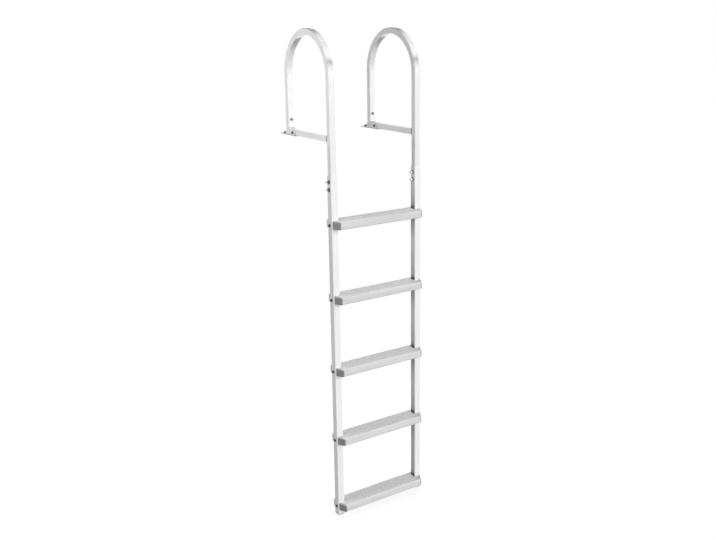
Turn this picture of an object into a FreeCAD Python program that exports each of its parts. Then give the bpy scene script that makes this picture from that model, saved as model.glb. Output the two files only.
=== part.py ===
import FreeCAD
import Part
import math
import os

# Dock ladder with two hoop handrails and five wide steps, all sizes in millimetres.
# Each hoop is one bent square tube: its short leg stands on the deck in a channel bracket, and its
# long leg slides into the square stile that carries the steps. A crossbar closes each hoop at deck level.
# +X runs along the steps from the left side to the right, -Y faces the water, and +Z is up.
# The origin is under the left foot, on the deck, below the centre of the hoop's short leg.

# Overall layout
rail_spacing = 394.0
hoop_depth = 332.0
hoop_height = 424.0
hoop_insertion = 90.0
stile_top_drop = 125.0
first_step_drop = 300.0
step_pitch = 304.8
step_count = 5
stile_tail = 20.0

# Square tube of the hoops and crossbars
tube_size = 25.0
tube_wall = 2.0
tube_corner = 2.5

# Stiles, which the long legs of the hoops slide into
stile_wall = 2.2
stile_corner = 3.0
slide_clearance = 0.3

# Plugs that close the stiles' lower ends
foot_plug_thickness = 4.0
foot_plug_chamfer = 1.2
foot_plug_insertion = 20.0
foot_plug_wall = 2.0
plug_clearance = 0.2

# Step extrusion, its three chambers and its screw boss
step_height = 33.0
front_reach = 34.0
back_reach = 16.0
step_wall = 2.0
nose_radius = 6.0
heel_radius = 3.0
notch_clearance = 0.3
boss_drop = 20.0
boss_wall = 3.0
boss_rib = 2.2
thread_clearance = 0.1

# Ribbed tread pad, let into the top of the step between the stiles
pad_recess = 1.2
pad_front_margin = 7.0
pad_back_margin = 5.0
pad_clearance = 0.2
pad_end_gap = 3.0
rib_height = 0.8
rib_width = 2.2
rib_pitch = 4.0

# Moulded plugs in the open ends of the steps
end_set_in = 3.5
end_slant = 14.5
end_plug_thickness = 4.0
end_plug_chamfer = 1.5
end_plug_insertion = 10.0
end_plug_wall = 2.0

# Channel brackets that hold the short legs to the deck
plate_thickness = 3.0
cheek_height = 24.0
cheek_rounding = 8.0
bracket_clearance = 0.3
bracket_front_reach = 55.0
tab_length = 50.0
tab_rounding = 10.0
hold_down_offset = 31.5
hold_down_radius = 4.5

# Bolts
bolt_radius = 3.0
bolt_clearance = 0.3
nut_clearance = 0.1
head_across_flats = 10.0
head_height = 4.0
nut_height = 5.2
hex_chamfer = 0.9
dome_radius = 6.0
dome_height = 3.6
dome_rim = 0.6
washer_radius = 6.2
washer_thickness = 1.4
bolt_tail = 2.5
splice_bolt_tail = 8.0
splice_first_drop = 24.0
splice_spacing = 30.0
foot_bolt_height = 14.0
foot_bolt_offset = 37.5
leg_bolt_height = 63.0
step_bolt_engagement = 35.0

# Sizes that follow from the ones above
stile_size = tube_size + 2 * (slide_clearance + stile_wall)
half_tube = tube_size / 2
half_stile = stile_size / 2
bend_radius = hoop_depth / 2
bend_height = hoop_height - half_tube - bend_radius
stile_centre = -hoop_depth
stile_front = stile_centre - half_stile
stile_back = stile_centre + half_stile
stile_top = -stile_top_drop
hoop_bottom = stile_top - hoop_insertion
step_front = stile_front - front_reach
step_back = stile_back + back_reach
front_web = stile_front - notch_clearance
back_web = stile_back + notch_clearance
chamber_floor = -step_height + step_wall
chamber_ceiling = -pad_recess - step_wall
boss_bore = bolt_radius + thread_clearance
lowest_step_bottom = -first_step_drop - (step_count - 1) * step_pitch - step_height
stile_bottom = lowest_step_bottom - stile_tail
cheek_inner = half_tube + bracket_clearance
cheek_outer = cheek_inner + plate_thickness
bracket_inner_bend = bracket_clearance
bracket_outer_bend = bracket_inner_bend + plate_thickness
bracket_front = -half_tube - bracket_front_reach
hold_down_y = half_tube + hold_down_offset
foot_bolt_y = -half_tube - foot_bolt_offset
bolt_hole = bolt_radius + bolt_clearance

X = FreeCAD.Vector(1, 0, 0)
Y = FreeCAD.Vector(0, 1, 0)
Z = FreeCAD.Vector(0, 0, 1)


def plan(x, y, radius=0.0):
    """Corner of an outline seen from above."""
    return FreeCAD.Vector(x, y, 0), radius


def side(y, z, radius=0.0):
    """Corner of an outline seen along X."""
    return FreeCAD.Vector(0, y, z), radius


def front(x, z, radius=0.0):
    """Corner of an outline seen along Y."""
    return FreeCAD.Vector(x, 0, z), radius


def rectangle(corner, low_a, low_b, high_a, high_b, radius=0.0):
    """Four corners of a rectangle, all with one radius."""
    return [
        corner(low_a, low_b, radius),
        corner(high_a, low_b, radius),
        corner(high_a, high_b, radius),
        corner(low_a, high_b, radius),
    ]


def outline(corners):
    """Flat face inside the corners, each one rounded to its own radius."""
    edges = []
    stops = []
    for index, (point, radius) in enumerate(corners):
        before = (corners[index - 1][0] - point).normalize()
        after = (corners[(index + 1) % len(corners)][0] - point).normalize()
        half_angle = before.getAngle(after) / 2
        reach = radius / math.tan(half_angle)
        middle = point
        if radius > 0:
            bisector = (before + after).normalize()
            middle = point + bisector * (radius / math.sin(half_angle) - radius)
        stops.append((point + before * reach, middle, point + after * reach))
    for index, (start, middle, end) in enumerate(stops):
        if start.distanceToPoint(end) > 1e-6:
            edges.append(Part.Arc(start, middle, end).toShape())
        following = stops[(index + 1) % len(stops)][0]
        if end.distanceToPoint(following) > 1e-6:
            edges.append(Part.LineSegment(end, following).toShape())
    return Part.Face(Part.Wire(edges))


def prism(corners, along, start, end):
    """Solid with the given outline, from start to end along one axis."""
    face = outline(corners)
    face.translate(along * start)
    return face.extrude(along * (end - start))


def rod(radius, along, start, length):
    """Round bar that begins at a point."""
    return Part.makeCylinder(radius, length, start, along)


def one_solid(shape):
    """The single solid inside a boolean result, with its split faces joined."""
    return shape.removeSplitter().Solids[0]


def tube_section(size, wall, corner):
    """Ring-shaped face of a square tube, seen from above and centred on the origin."""
    outside = outline(rectangle(plan, -size / 2, -size / 2, size / 2, size / 2, corner))
    bore = size / 2 - wall
    inside = outline(rectangle(plan, -bore, -bore, bore, bore))
    return outside.cut(inside).Faces[0]


def placed(shape, seat, direction):
    """Copy of a shape built along +Z, moved to a seat and turned to a direction."""
    copy = shape.copy()
    copy.Placement = FreeCAD.Placement(seat, FreeCAD.Rotation(Z, direction))
    return copy


def hexagon(height):
    """Six-sided bar from z = 0 with the corners of its upper end chamfered."""
    circumradius = head_across_flats / math.sqrt(3)
    corners = []
    for turn in range(6):
        angle = math.radians(60 * turn)
        corners.append(plan(circumradius * math.cos(angle), circumradius * math.sin(angle)))
    bar = prism(corners, Z, 0, height)
    base_radius = circumradius + height - hex_chamfer
    return bar.common(Part.makeCone(base_radius, circumradius - hex_chamfer, height))


def hex_bolt(length):
    """Hex-head bolt with its shank along +Z and the underside of its head at z = 0."""
    head = hexagon(head_height).mirror(FreeCAD.Vector(0, 0, 0), Z)
    return one_solid(head.fuse(rod(bolt_radius, Z, FreeCAD.Vector(0, 0, 0), length)))


def dome_bolt(length):
    """Bolt with a low domed head, its shank along +Z and the underside of its head at z = 0."""
    centre = FreeCAD.Vector(0, 0, 0)
    rim = FreeCAD.Vector(dome_radius, 0, 0)
    shoulder = FreeCAD.Vector(dome_radius, 0, -dome_rim)
    crown = FreeCAD.Vector(0, 0, -dome_height)
    rise = dome_height - dome_rim
    ball = (dome_radius ** 2 + rise ** 2) / (2 * rise)
    half_angle = math.asin(dome_radius / ball) / 2
    ball_centre = -dome_height + ball
    middle = FreeCAD.Vector(ball * math.sin(half_angle), 0, ball_centre - ball * math.cos(half_angle))
    edges = [
        Part.LineSegment(centre, rim).toShape(),
        Part.LineSegment(rim, shoulder).toShape(),
        Part.Arc(shoulder, middle, crown).toShape(),
        Part.LineSegment(crown, centre).toShape(),
    ]
    head = Part.Face(Part.Wire(edges)).revolve(centre, Z, 360)
    return one_solid(head.fuse(rod(bolt_radius, Z, centre, length)))


def nut():
    """Hex nut that stands on z = 0, with a plain bore."""
    bore = rod(bolt_radius + nut_clearance, Z, FreeCAD.Vector(0, 0, 0), nut_height)
    return one_solid(hexagon(nut_height).cut(bore))


def bolt_and_nut(bolt, seat, direction, grip):
    """Bolt through a thickness, with its nut on the far face."""
    return [placed(bolt, seat, direction), placed(nut(), seat + direction * grip, direction)]


def splice_heights():
    """Heights of the bolts that pin the long leg into the stile."""
    first = stile_top - splice_first_drop
    return [first, first - splice_spacing]


def step_tops():
    """Heights of the tread surfaces, from the highest step down."""
    return [-first_step_drop - index * step_pitch for index in range(step_count)]


def hoop():
    """Bent tube: short leg up from the bracket, half-circle bend, long leg down into the stile."""
    section = tube_section(tube_size, tube_wall, tube_corner)
    short_leg = section.copy()
    short_leg.translate(Z * plate_thickness)
    short_leg = short_leg.extrude(Z * (bend_height - plate_thickness))
    bend = section.copy()
    bend.translate(Z * bend_height)
    bend = bend.revolve(FreeCAD.Vector(0, -bend_radius, bend_height), X, 180)
    long_leg = section.copy()
    long_leg.translate(FreeCAD.Vector(0, stile_centre, hoop_bottom))
    long_leg = long_leg.extrude(Z * (bend_height - hoop_bottom))
    tube = one_solid(short_leg.fuse([bend, long_leg]))
    leg_hole = rod(bolt_hole, Y, FreeCAD.Vector(0, -tube_size, leg_bolt_height), 2 * tube_size)
    holes = [leg_hole]
    for height in splice_heights():
        holes.append(rod(bolt_hole, X, FreeCAD.Vector(-tube_size, stile_centre, height), 2 * tube_size))
    return one_solid(tube.cut(holes))


def crossbar():
    """Tube welded between the two legs of a hoop, resting on the bracket's plate."""
    length = hoop_depth - tube_size
    bar = tube_section(tube_size, tube_wall, tube_corner).extrude(Z * length)
    bar = placed(bar, FreeCAD.Vector(0, -half_tube, plate_thickness + half_tube), -Y)
    hole = rod(bolt_hole, X, FreeCAD.Vector(-tube_size, foot_bolt_y, foot_bolt_height), 2 * tube_size)
    return one_solid(bar.cut(hole))


def stile():
    """Square tube that carries the steps, open at the top for the long leg."""
    section = tube_section(stile_size, stile_wall, stile_corner)
    section.translate(FreeCAD.Vector(0, stile_centre, stile_bottom))
    tube = section.extrude(Z * (stile_top - stile_bottom))
    heights = splice_heights() + [top - boss_drop for top in step_tops()]
    holes = []
    for height in heights:
        holes.append(rod(bolt_hole, X, FreeCAD.Vector(-stile_size, stile_centre, height), 2 * stile_size))
    return one_solid(tube.cut(holes))


def stile_plug():
    """Moulded plug in the lower end of a stile: a chamfered sole with a hollow tongue above it."""
    sole_bottom = stile_bottom - foot_plug_thickness
    rim = rectangle(plan, -half_stile, stile_front, half_stile, stile_back, stile_corner)
    sole = prism(rim, Z, sole_bottom, stile_bottom)
    lower_edges = [edge for edge in sole.Edges if abs(edge.BoundBox.ZMax - sole_bottom) < 1e-6]
    sole = sole.makeChamfer(foot_plug_chamfer, lower_edges)
    outer = half_stile - stile_wall - plug_clearance
    inner = outer - foot_plug_wall
    tongue_top = stile_bottom + foot_plug_insertion
    tongue_outline = rectangle(plan, -outer, -outer, outer, outer)
    hollow_outline = rectangle(plan, -inner, -inner, inner, inner)
    tongue = prism(tongue_outline, Z, stile_bottom, tongue_top)
    tongue = tongue.cut(prism(hollow_outline, Z, stile_bottom, tongue_top))
    tongue.translate(Y * stile_centre)
    return one_solid(sole.fuse(tongue))


def splice_bolts():
    """Domed bolts pinning the long leg, with their nuts and long ends on the left."""
    bolt = dome_bolt(stile_size + nut_height + splice_bolt_tail)
    solids = []
    for height in splice_heights():
        seat = FreeCAD.Vector(half_stile, stile_centre, height)
        solids += bolt_and_nut(bolt, seat, -X, stile_size)
    return Part.makeCompound(solids)


def foot_bracket():
    """Bent channel around the short leg and the end of the crossbar, with a tab for the hold-down bolt."""
    channel = prism(
        [
            front(-cheek_outer, 0, bracket_outer_bend),
            front(cheek_outer, 0, bracket_outer_bend),
            front(cheek_outer, cheek_height),
            front(-cheek_outer, cheek_height),
        ],
        Y, bracket_front, half_tube)
    inside = prism(
        [
            front(-cheek_inner, plate_thickness, bracket_inner_bend),
            front(cheek_inner, plate_thickness, bracket_inner_bend),
            front(cheek_inner, cheek_height),
            front(-cheek_inner, cheek_height),
        ],
        Y, bracket_front, half_tube)
    cheek_shape = prism(
        [
            side(bracket_front, 0),
            side(half_tube, 0),
            side(half_tube, cheek_height, cheek_rounding),
            side(bracket_front, cheek_height, cheek_rounding),
        ],
        X, -cheek_outer, cheek_outer)
    tab = prism(
        [
            plan(-cheek_outer, half_tube),
            plan(cheek_outer, half_tube),
            plan(cheek_outer, half_tube + tab_length, tab_rounding),
            plan(-cheek_outer, half_tube + tab_length, tab_rounding),
        ],
        Z, 0, plate_thickness)
    bracket = channel.cut(inside).common(cheek_shape).fuse(tab)
    hold_down = rod(hold_down_radius, Z, FreeCAD.Vector(0, hold_down_y, 0), plate_thickness)
    cheek_start = FreeCAD.Vector(-cheek_outer, foot_bolt_y, foot_bolt_height)
    cheek_holes = rod(bolt_hole, X, cheek_start, 2 * cheek_outer)
    return one_solid(bracket.cut([hold_down, cheek_holes]))


def foot_bolt():
    """Bolt across both cheeks and the crossbar."""
    grip = 2 * cheek_outer
    seat = FreeCAD.Vector(-cheek_outer, foot_bolt_y, foot_bolt_height)
    return Part.makeCompound(bolt_and_nut(hex_bolt(grip + nut_height + bolt_tail), seat, X, grip))


def leg_bolt():
    """Bolt through the short leg, with its head on the water side."""
    seat = FreeCAD.Vector(0, -half_tube, leg_bolt_height)
    bolt = hex_bolt(tube_size + nut_height + bolt_tail)
    return Part.makeCompound(bolt_and_nut(bolt, seat, Y, tube_size))


def step_bolts():
    """One bolt for each step, from the stile's outer face into the step's screw boss."""
    length = washer_thickness + stile_size + notch_clearance + step_bolt_engagement
    bolt = hex_bolt(length)
    solids = []
    for top in step_tops():
        seat = FreeCAD.Vector(-half_stile - washer_thickness, stile_centre, top - boss_drop)
        solids.append(placed(bolt, seat, X))
    return Part.makeCompound(solids)


def step_washers():
    """Washers between the step bolts' heads and the stile."""
    start = FreeCAD.Vector(0, 0, 0)
    disc = rod(washer_radius, Z, start, washer_thickness)
    ring = disc.cut(rod(bolt_hole, Z, start, washer_thickness))
    solids = []
    for top in step_tops():
        seat = FreeCAD.Vector(-half_stile - washer_thickness, stile_centre, top - boss_drop)
        solids.append(placed(ring, seat, X))
    return Part.makeCompound(solids)


def front_end(y, inset):
    """X of the slanted left end in front of the stile, moved inward by an inset."""
    slope = end_slant / front_reach
    return -half_stile + end_set_in + inset + slope * (stile_front - y)


def back_end(y, inset):
    """X of the square left end behind the stile, moved inward by an inset."""
    return -half_stile + end_set_in + inset


def end_cutout():
    """Everything past the left end of the step extrusion, with the notch for the stile."""
    past_end = -2 * stile_size
    front_past = step_front - step_wall
    back_past = step_back + step_wall
    return prism(
        [
            plan(past_end, front_past),
            plan(front_end(front_past, end_plug_thickness), front_past),
            plan(front_end(front_web, end_plug_thickness), front_web),
            plan(half_stile + notch_clearance, front_web),
            plan(half_stile + notch_clearance, back_web),
            plan(back_end(back_web, end_plug_thickness), back_web),
            plan(back_end(back_past, end_plug_thickness), back_past),
            plan(past_end, back_past),
        ],
        Z, -step_height, 0)


def to_right(shape):
    """The same piece on the right-hand side."""
    return shape.mirror(X * (rail_spacing / 2), X)


def front_chamber(inset=0.0):
    """Corners of the hollow in front of the stile, drawn in by an inset."""
    round_corner = max(nose_radius - step_wall - inset, 0)
    low_y = step_front + step_wall + inset
    high_y = front_web - step_wall - inset
    low_z = chamber_floor + inset
    high_z = chamber_ceiling - inset
    return [
        side(low_y, low_z, round_corner),
        side(high_y, low_z),
        side(high_y, high_z),
        side(low_y, high_z, round_corner),
    ]


def back_chamber(inset=0.0):
    """Corners of the hollow behind the stile, drawn in by an inset."""
    low_y = back_web + step_wall + inset
    high_y = step_back - step_wall - inset
    return rectangle(side, low_y, chamber_floor + inset, high_y, chamber_ceiling - inset)


def step_blank():
    """Full-length hollow extrusion with a recessed top, two webs and a ribbed screw boss."""
    start = -half_stile
    end = rail_spacing + half_stile
    body = prism(
        [
            side(step_front, -step_height, nose_radius),
            side(step_back, -step_height, heel_radius),
            side(step_back, 0, heel_radius),
            side(step_front, 0, nose_radius),
        ],
        X, start, end)
    recess = rectangle(side, step_front + pad_front_margin, -pad_recess, step_back - pad_back_margin, 0)
    middle = rectangle(side, front_web, chamber_floor, back_web, chamber_ceiling)
    hollows = [prism(shape, X, start, end) for shape in (recess, front_chamber(), middle, back_chamber())]
    body = body.cut(hollows)
    half_rib = boss_rib / 2
    rib_low = chamber_floor - step_wall / 2
    rib_high = chamber_ceiling + step_wall / 2
    rib_outline = rectangle(side, stile_centre - half_rib, rib_low, stile_centre + half_rib, rib_high)
    rib = prism(rib_outline, X, start, end)
    boss_start = FreeCAD.Vector(start, stile_centre, -boss_drop)
    boss = rod(boss_bore + boss_wall, X, boss_start, end - start)
    bore = rod(boss_bore, X, boss_start, end - start)
    return one_solid(body.fuse([rib, boss]).cut(bore))


def step():
    """Step with its top at z = 0, cut to fit around both stiles."""
    cutout = end_cutout()
    return one_solid(step_blank().cut([cutout, to_right(cutout)]))


def tread_pad():
    """Rubber strip with ribs along the step, lying in the recess between the stiles."""
    low_y = step_front + pad_front_margin + pad_clearance
    high_y = step_back - pad_back_margin - pad_clearance
    rib_count = int((high_y - low_y - rib_width) // rib_pitch)
    first_rib = (low_y + high_y) / 2 - (rib_count - 1) * rib_pitch / 2
    corners = [side(high_y, 0), side(high_y, -pad_recess), side(low_y, -pad_recess), side(low_y, 0)]
    for index in range(rib_count):
        centre = first_rib + index * rib_pitch
        corners += [
            side(centre - rib_width / 2, 0),
            side(centre - rib_width / 2, rib_height),
            side(centre + rib_width / 2, rib_height),
            side(centre + rib_width / 2, 0),
        ]
    start = half_stile + pad_end_gap
    return prism(corners, X, start, rail_spacing - start)


def end_plug(rim, chamber, low_y, high_y, end_at):
    """Moulded plug: a flange over the end of the extrusion and a hollow tongue inside a chamber."""
    past = step_wall
    inner_stop = end_at(low_y, end_plug_thickness) + end_plug_insertion
    flange_zone = prism(
        [
            plan(end_at(low_y - past, 0), low_y - past),
            plan(end_at(low_y - past, end_plug_thickness), low_y - past),
            plan(end_at(high_y + past, end_plug_thickness), high_y + past),
            plan(end_at(high_y + past, 0), high_y + past),
        ],
        Z, -step_height, 0)
    flange = one_solid(prism(rim, X, -stile_size, inner_stop).common(flange_zone))
    outer_edges = []
    for edge in flange.Edges:
        offsets = [abs(vertex.X - end_at(vertex.Y, 0)) for vertex in edge.Vertexes]
        if max(offsets) < 1e-6:
            outer_edges.append(edge)
    flange = flange.makeChamfer(end_plug_chamfer, outer_edges)
    outer_tongue = prism(chamber(plug_clearance), X, -stile_size, inner_stop)
    hollow = prism(chamber(plug_clearance + end_plug_wall), X, -stile_size, inner_stop)
    past_flange = prism(
        [
            plan(-2 * stile_size, low_y - past),
            plan(end_at(low_y - past, end_plug_thickness), low_y - past),
            plan(end_at(high_y + past, end_plug_thickness), high_y + past),
            plan(-2 * stile_size, high_y + past),
        ],
        Z, -step_height, 0)
    tongue = outer_tongue.cut([hollow, past_flange])
    return one_solid(flange.fuse(tongue))


def end_plugs():
    """Front and back plugs in the left end of a step with its top at z = 0."""
    front_rim = [
        side(step_front, -step_height, nose_radius),
        side(front_web, -step_height),
        side(front_web, 0),
        side(step_front, 0, nose_radius),
    ]
    back_rim = [
        side(back_web, -step_height),
        side(step_back, -step_height, heel_radius),
        side(step_back, 0, heel_radius),
        side(back_web, 0),
    ]
    front_plug = end_plug(front_rim, front_chamber, step_front, front_web, front_end)
    back_plug = end_plug(back_rim, back_chamber, back_web, step_back, back_end)
    return Part.makeCompound([front_plug, back_plug])


def save(name, shape):
    shape.exportStep(os.path.join("parts", name + ".step"))


def save_pair(name, left_shape):
    """Save the left piece and its mirror image on the right."""
    save(name + "_left", left_shape)
    save(name + "_right", to_right(left_shape))


def save_copies(name, left_shape):
    """Save the left piece and the same piece on the right, for bolts that all point one way."""
    save(name + "_left", left_shape)
    save(name + "_right", left_shape.translated(X * rail_spacing))


def main():
    os.makedirs("parts", exist_ok=True)
    save_pair("hoop", hoop())
    save_pair("crossbar", crossbar())
    save_pair("stile", stile())
    save_pair("stile_plug", stile_plug())
    save_pair("foot_bracket", foot_bracket())
    save_copies("foot_bolt", foot_bolt())
    save_pair("leg_bolt", leg_bolt())
    save_copies("splice_bolts", splice_bolts())
    save_pair("step_bolts", step_bolts())
    save_pair("step_washers", step_washers())
    finished_step = step()
    finished_pad = tread_pad()
    left_plugs = end_plugs()
    right_plugs = to_right(left_plugs)
    for number, top in enumerate(step_tops(), start=1):
        lowered = Z * top
        save("step_%d" % number, finished_step.translated(lowered))
        save("step_pad_%d" % number, finished_pad.translated(lowered))
        save("step_plugs_left_%d" % number, left_plugs.translated(lowered))
        save("step_plugs_right_%d" % number, right_plugs.translated(lowered))


main()
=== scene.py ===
"""Finishes and small parts for a dock ladder with hoop handrails, shown on a pale studio floor."""

import math

import bmesh
import bpy
from bpy.props import FloatProperty, FloatVectorProperty, IntProperty, PointerProperty
from mathutils import Matrix, Vector


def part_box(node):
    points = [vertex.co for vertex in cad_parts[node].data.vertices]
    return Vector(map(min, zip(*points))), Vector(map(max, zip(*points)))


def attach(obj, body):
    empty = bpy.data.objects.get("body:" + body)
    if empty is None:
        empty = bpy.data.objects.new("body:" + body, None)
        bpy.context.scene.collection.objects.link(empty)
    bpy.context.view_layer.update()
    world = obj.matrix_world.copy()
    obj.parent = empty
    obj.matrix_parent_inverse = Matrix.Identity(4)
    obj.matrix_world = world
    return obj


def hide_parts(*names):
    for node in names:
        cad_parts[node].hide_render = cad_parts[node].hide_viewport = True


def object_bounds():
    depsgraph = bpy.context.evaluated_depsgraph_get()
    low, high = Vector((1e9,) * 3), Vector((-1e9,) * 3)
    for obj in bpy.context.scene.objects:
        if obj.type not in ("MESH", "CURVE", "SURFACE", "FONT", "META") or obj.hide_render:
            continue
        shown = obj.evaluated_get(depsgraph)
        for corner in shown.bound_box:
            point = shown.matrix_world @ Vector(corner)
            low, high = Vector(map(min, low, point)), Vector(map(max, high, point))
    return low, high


bl_info = {
    "name": "Dock Ladder",
    "version": (1, 0, 0),
    "blender": (4, 5, 0),
    "location": "3D View > Sidebar > Ladder",
    "description": "Finishes a dock ladder and adds its welds, threads, screws and studded treads",
    "category": "Object",
}

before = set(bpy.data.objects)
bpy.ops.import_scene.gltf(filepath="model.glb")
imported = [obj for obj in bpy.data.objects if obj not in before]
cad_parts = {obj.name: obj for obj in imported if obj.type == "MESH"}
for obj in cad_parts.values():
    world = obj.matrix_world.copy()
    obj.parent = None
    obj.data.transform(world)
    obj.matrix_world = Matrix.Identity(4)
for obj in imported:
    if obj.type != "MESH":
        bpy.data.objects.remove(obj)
cad_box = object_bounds()

MM = 0.001
SIDES = ("left", "right")
STEPS = range(1, 6)

# Noise squeezed this much along a tube draws streaks that are fifty times as long as they are wide.
SQUEEZE = 0.02

# Most values of a noise lie between these two.
NOISE = {"From Min": 0.3, "From Max": 0.7}

# Roughness from the glossiest to the dullest lines: of the hoops, stiles and welds, and of the rest.
SATIN = (0.34, 0.46)
MATT = (0.5, 0.62)


def linear(hex_colour):
    """Linear RGBA of an sRGB colour such as #C8CACC."""
    channels = []
    for start in (1, 3, 5):
        value = int(hex_colour[start:start + 2], 16) / 255
        if value <= 0.04045:
            channels.append(value / 12.92)
        else:
            channels.append(((value + 0.055) / 1.055) ** 2.4)
    return (*channels, 1.0)


def colour_property(name, description, hex_colour):
    """Colour setting with an sRGB default."""
    return FloatVectorProperty(
        name=name, description=description, default=linear(hex_colour),
        size=4, subtype="COLOR", min=0, max=1)


def length_property(name, description, millimetres):
    """Length setting with its default in millimetres."""
    return FloatProperty(name=name, description=description, default=millimetres * MM, unit="LENGTH", min=0)


def angle_property(name, description, degrees):
    """Angle setting with its default in degrees."""
    return FloatProperty(name=name, description=description, default=math.radians(degrees), subtype="ANGLE")


def light_property(name, description, strength):
    """Strength or power of a light."""
    return FloatProperty(name=name, description=description, default=strength, min=0)


class LadderColours(bpy.types.PropertyGroup):
    """Colours of the ladder's finishes."""

    tube: colour_property("Tube", "Anodised tube of the hoops, and streaks of the paler tubes", "#EFEFEF")
    tube_streak: colour_property("Tube streaks", "Darker draw lines in the hoops", "#E9E9E9")
    crossbar: colour_property("Crossbar", "Paler tube of the crossbars", "#FAFAFA")
    stile: colour_property("Stile", "Paler tube of the stiles", "#F6F6F6")
    step: colour_property("Step", "Anodised extrusion of the steps", "#DFDFDF")
    step_streak: colour_property("Step streaks", "Darker die lines in the steps and brackets", "#D4D4D4")
    bracket: colour_property("Bracket", "Bent plate of the deck brackets", "#FBFBFB")
    tread: colour_property("Tread", "Grey rubber of the treads", "#ECECEC")
    tread_fleck: colour_property("Tread flecks", "Darker grit in the rubber", "#C6C6C6")
    plug: colour_property("Plug", "Moulded grey plugs", "#8F8F8F")
    back_plug: colour_property("Back plug", "Paler plugs behind the stiles", "#E0E0E0")
    bolt: colour_property("Bolt", "Stainless bolts, nuts and washers", "#6E6E6E")
    dark_bolt: colour_property("Dark bolt", "Duller steel of the step bolts", "#535353")
    screw: colour_property("Screw", "Blackened hold-down screws", "#3E3E3E")
    # Painted highlight: the right-hand splice bolts are painted much brighter than the same steel elsewhere.
    highlight_bolt: colour_property("Pale bolt", "Brighter steel of the right-hand splice", "#FAFAFA")
    # Painted shade: dark rings round the splice nuts.
    shade_ring: colour_property("Seal", "Rubber seals under the splice nuts", "#1E1E1E")
    # Painted highlight on the hoops' bends.
    painted_highlight: colour_property("Shine", "Bare metal where the bends are polished", "#FDFDFD")
    # Painted dark reflections and painted shade on the hoops' bends.
    reflection_and_shade: colour_property("Wear", "Dull metal where the bends are rubbed", "#8A8A8A")
    # Painted highlight: the left-hand threads are paler than the nuts of the same steel.
    thread: colour_property("Thread", "Bright rolled threads", "#D2D2D2")
    weld: colour_property("Weld", "Unpolished weld beads", "#8C8C8C")
    weld_shade: colour_property("Weld shade", "Darker patches of the weld beads", "#6E6E6E")
    # Painted shade: laid by the steps on the stiles and along the lower edge of the brackets.
    painted_shade: colour_property("Grime", "Dirt in the corners where water stands", "#474747")
    floor: colour_property("Floor", "Pale studio floor", "#A3A3A3")


class LadderSizes(bpy.types.PropertyGroup):
    """Sizes of the parts that the solids leave out, and of the tubes that they sit on."""

    hoop_depth: length_property("Hoop depth", "Between the centres of a hoop's legs", 332)
    bend_start: length_property("Bend start", "Height at which the legs turn into the bend", 245.5)
    tube_size: length_property("Tube size", "Outside width of the square tube", 25)
    tube_corner: length_property("Tube corner", "Outside radius of its corners", 2.5)
    stile_size: length_property("Stile size", "Outside width of the square stile", 30)
    rail_spacing: length_property("Rail spacing", "Between the centres of the two stiles", 394)
    first_step: length_property("First step", "From the deck down to the top of the first step", 300)
    step_pitch: length_property("Step pitch", "Between the tops of two steps", 304.8)
    weld_radius: length_property("Weld radius", "Radius of the weld bead", 1.9)
    weld_spacing: length_property("Weld spacing", "Between two ripples of the weld", 1.6)
    splice_bolts: IntProperty(name="Splice bolts", description="Bolts in each splice", default=2, min=1)
    splice_spacing: length_property("Splice spacing", "Between the two bolts of a splice", 30)
    splice_height: length_property("Splice depth", "From the deck down to the upper splice bolt", 149)
    thread_pitch: length_property("Thread pitch", "Pitch of the bolts' thread", 1)
    thread_radius: length_property("Thread radius", "Radius of the bolts' shanks", 3)
    thread_ridge: length_property("Thread ridge", "How far the thread stands out", 0.35)
    thread_length: length_property("Thread length", "Thread on each bolt's free end", 7.2)
    # The dull tip keeps the plain bolt colour, as painted shade of the thread.
    tip_length: length_property("Dull tip", "Dull cut end of each right-hand splice bolt", 2.4)
    shade_ring_radius: length_property("Seal radius", "From the bolt's centre to the middle of the seal", 6.9)
    shade_ring_thickness: length_property("Seal thickness", "Radius of the seal's cross-section", 1)
    stud_length: length_property("Stud length", "Along the step", 6.2)
    stud_width: length_property("Stud width", "Across the step", 2.3)
    stud_height: length_property("Stud height", "Above the rubber sheet", 0.8)
    stud_pitch: length_property("Stud pitch", "Between two studs along the step", 8)
    row_pitch: length_property("Row pitch", "Between two rows of studs", 4)
    stud_rows: IntProperty(name="Stud rows", description="Rows of studs across a tread", default=16, min=1)
    screw_across_flats: length_property("Screw head", "Hold-down screw across its flats", 13)
    screw_head_height: length_property("Screw head height", "Above its washer", 5.3)
    screw_washer_radius: length_property("Screw washer", "Radius of the hold-down washer", 9)
    screw_washer_height: length_property("Screw washer height", "Thickness of the washer", 1.6)
    hold_down_offset: length_property("Hold-down offset", "From the leg's centre to the screw", 44)
    plate: length_property("Bracket plate", "Thickness of the bent plate", 3)


class LadderStage(bpy.types.PropertyGroup):
    """Studio light, floor and camera."""

    sky: light_property("Sky", "Strength of the even light all round", 0.1)
    key: light_property("Key", "Strength of the sun in front", 2.5)
    back: light_property("Back", "Strength of the sun behind", 1.35)
    softness: angle_property("Softness", "How wide both suns are", 40)
    side: light_property("Side", "Power of the soft lamp by the handrails", 3.4)
    window: light_property("Window", "Power of the soft lamp far on the left", 23)
    floor_glow: light_property("Floor glow", "Light that lifts the floor to white", 0.79)
    floor_size: length_property("Floor size", "Side of the square floor", 60000)
    lens: FloatProperty(name="Lens", description="Focal length in millimetres", default=43.472, min=1)
    yaw: angle_property("Yaw", "Turn to the right", 33.96)
    pitch: angle_property("Pitch", "Tilt down", 14.414)
    roll: angle_property("Roll", "Lean", -0.371)
    eye: FloatVectorProperty(
        name="Eye", description="Camera position", default=(-1.6434, -3.1812, 0.4419),
        subtype="XYZ", unit="LENGTH")
    shift: FloatVectorProperty(name="Shift", description="Lens shift", default=(-0.0475, -0.0349), size=2)


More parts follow.
